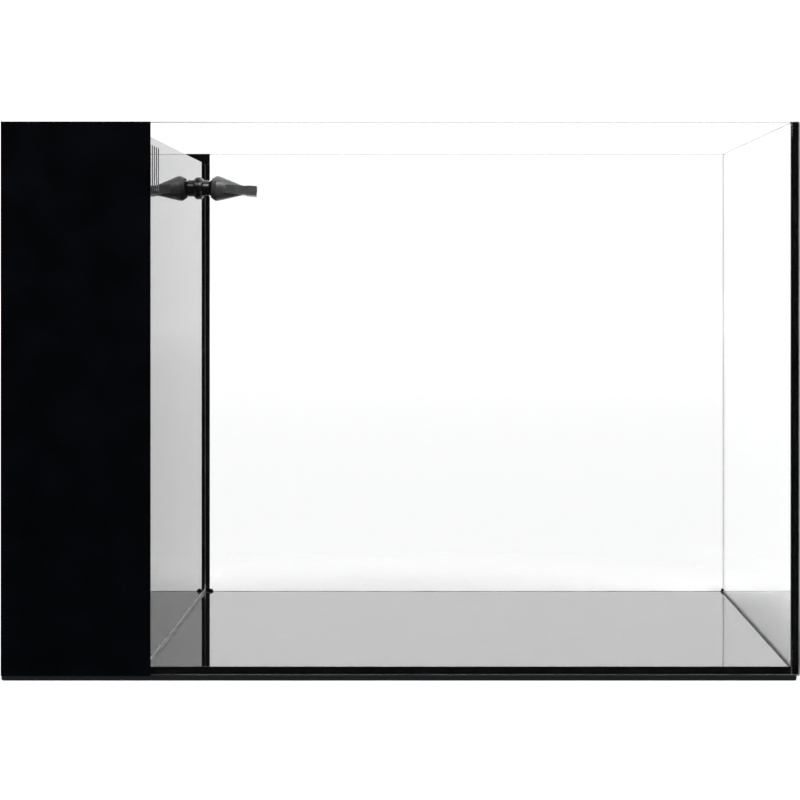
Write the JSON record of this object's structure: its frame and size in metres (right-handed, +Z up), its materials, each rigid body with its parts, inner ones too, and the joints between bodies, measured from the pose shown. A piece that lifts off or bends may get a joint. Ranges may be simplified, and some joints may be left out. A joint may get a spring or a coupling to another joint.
{
  "type": "aquarium tank",
  "caption": "Rimless glass aquarium with a blacked-out filter chamber at one end: overflow weir, filter sock, media basket, return pump and a swivelling return nozzle.",
  "frame": {"origin": "on the ground under the middle of the tank", "axes": "+X from the filter end to the display end, +Y from the front pane to the back pane, +Z up"},
  "size_m": [0.5003, 0.3006, 0.35],
  "materials": {
    "glass": "clear, polished edges",
    "black_silicone": "satin",
    "clear_silicone": "satin, translucent",
    "black_film": "smooth vinyl",
    "foam_mat": "closed-cell foam",
    "black_acrylic": "high gloss",
    "black_plastic": "moulded",
    "grey_plastic": "moulded",
    "felt": "needled felt",
    "sponge": "open-cell foam",
    "floss": "fibre pad",
    "bio_ceramic": "porous",
    "impeller_plastic": "moulded",
    "magnet": "ground ferrite",
    "shaft_ceramic": "polished",
    "rubber": "moulded",
    "vinyl_hose": "clear vinyl"
  },
  "bodies": {
    "tank": {"bottom_pane": "glass", "front_pane": "glass", "back_pane": "glass", "left_pane": "glass", "right_pane": "glass", "seam_front_left": "black_silicone", "seam_front_right": "black_silicone", "seam_back_left": "black_silicone", "seam_back_right": "black_silicone", "seam_bottom": "black_silicone", "divider_beads": "black_silicone", "wall_beads": "clear_silicone", "front_film": "black_film", "left_film": "black_film", "back_film": "black_film", "levelling_mat": "foam_mat", "overflow_wall": "black_acrylic", "sock_divider": "black_acrylic", "pump_divider": "black_acrylic", "sock_ledges": "black_acrylic", "pump_motor": "black_plastic", "pump_volute": "black_plastic", "intake_grille": "black_plastic", "pump_barb": "black_plastic", "elbow_barb": "black_plastic", "bulkhead_nut": "black_plastic", "bulkhead_body": "black_plastic", "hose_clamps": "black_plastic", "rotor_shaft": "shaft_ceramic", "shaft_bushes": "rubber", "pump_oring": "rubber", "suction_cups": "rubber", "cable_gland": "rubber", "bulkhead_gasket": "rubber", "return_hose": "vinyl_hose"},
    "sock_plate": {"sock_plate": "black_acrylic"},
    "sock": {"sock_ring": "black_plastic", "sock_bag": "felt"},
    "basket": {"media_basket": "black_plastic", "basket_trays": "black_plastic", "bio_block": "bio_ceramic", "coarse_sponge": "sponge", "floss_pad": "floss"},
    "rotor": {"impeller": "impeller_plastic", "rotor_magnet": "magnet"},
    "dial": {"flow_dial": "grey_plastic"},
    "neck": {"swivel_neck": "black_plastic", "neck_oring": "rubber"},
    "flare": {"flare_nozzle": "grey_plastic"}
  },
  "joints": [
    {"name": "nozzle_spin", "type": "hinge", "parent": "tank", "child": "neck", "pos_m": [-0.1595, 0.108, 0.321], "axis": [1, 0, 0], "continuous": true},
    {"name": "nozzle_tilt", "type": "hinge", "parent": "neck", "child": "flare", "pos_m": [-0.146, 0.108, 0.321], "axis": [0, 1, 0], "range_deg": [-15, 6]},
    {"name": "plate_lift", "type": "slide", "parent": "tank", "child": "sock_plate", "axis": [0, 0, 1], "range_m": [0, 0.08]},
    {"name": "sock_lift", "type": "slide", "parent": "sock_plate", "child": "sock", "axis": [0, 0, 1], "range_m": [0, 0.24]},
    {"name": "basket_lift", "type": "slide", "parent": "tank", "child": "basket", "axis": [0, 0, 1], "range_m": [0, 0.36]},
    {"name": "rotor_spin", "type": "hinge", "parent": "tank", "child": "rotor", "pos_m": [-0.2022, 0.099, 0.039], "axis": [0, 1, 0], "continuous": true},
    {"name": "flow_dial_turn", "type": "hinge", "parent": "tank", "child": "dial", "pos_m": [-0.2022, 0.13, 0.039], "axis": [0, 1, 0], "range_deg": [0, 22.5]}
  ]
}
